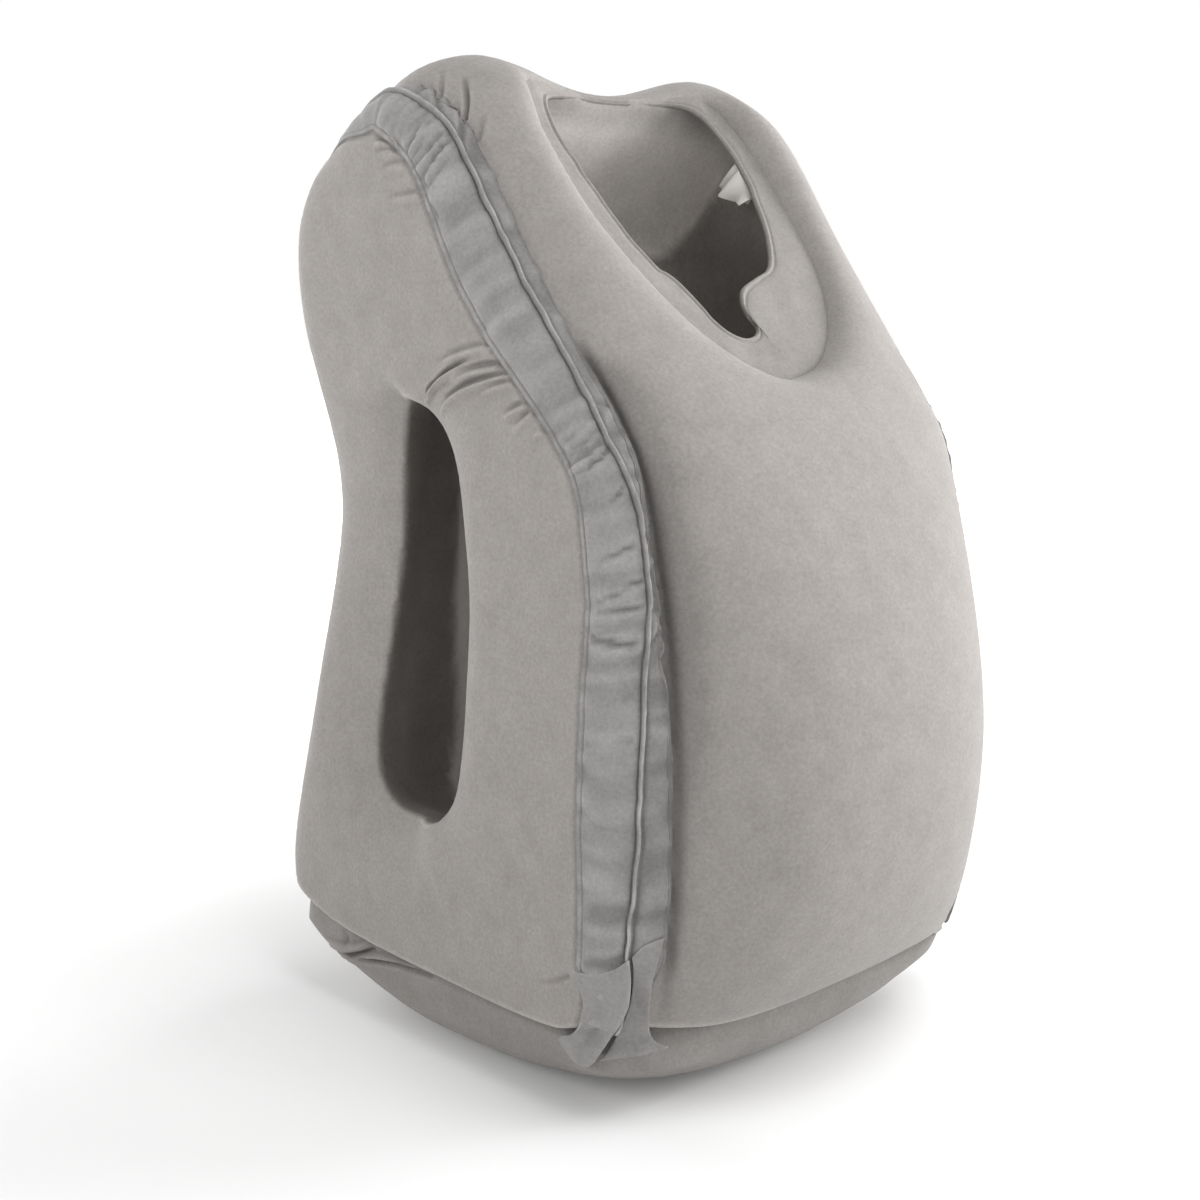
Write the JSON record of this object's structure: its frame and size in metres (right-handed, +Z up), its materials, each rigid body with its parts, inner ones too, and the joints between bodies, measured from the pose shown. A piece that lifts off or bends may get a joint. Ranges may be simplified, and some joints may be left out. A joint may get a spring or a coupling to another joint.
{
  "type": "inflatable travel pillow",
  "caption": "Tall hollow inflatable pillow that stands on the lap, with a sloping face opening, arm holes through its sides, welted corner strips and a rounded base.",
  "frame": {"origin": "middle of the flat foot of the base, on the surface that the pillow stands on", "axes": "+Z up along the pillow's height, -Y towards its bulging front, +X across it"},
  "size_m": [0.305, 0.3712, 0.5487],
  "materials": {
    "flocked_shell": "short velvety flock on air-tight film, soft sheen",
    "flocked_base": "short velvety flock, slightly darker",
    "flocked_strip": "short velvety flock, puckered along its welds",
    "flocked_band": "flat flocked film with a cut edge",
    "label_cloth": "thin satin woven cloth, blank"
  },
  "bodies": {
    "root": {"body": "flocked_shell", "base": "flocked_base", "strip_left": "flocked_strip", "strip_right": "flocked_strip", "face_band": "flocked_band", "label": "label_cloth"}
  },
  "joints": []
}
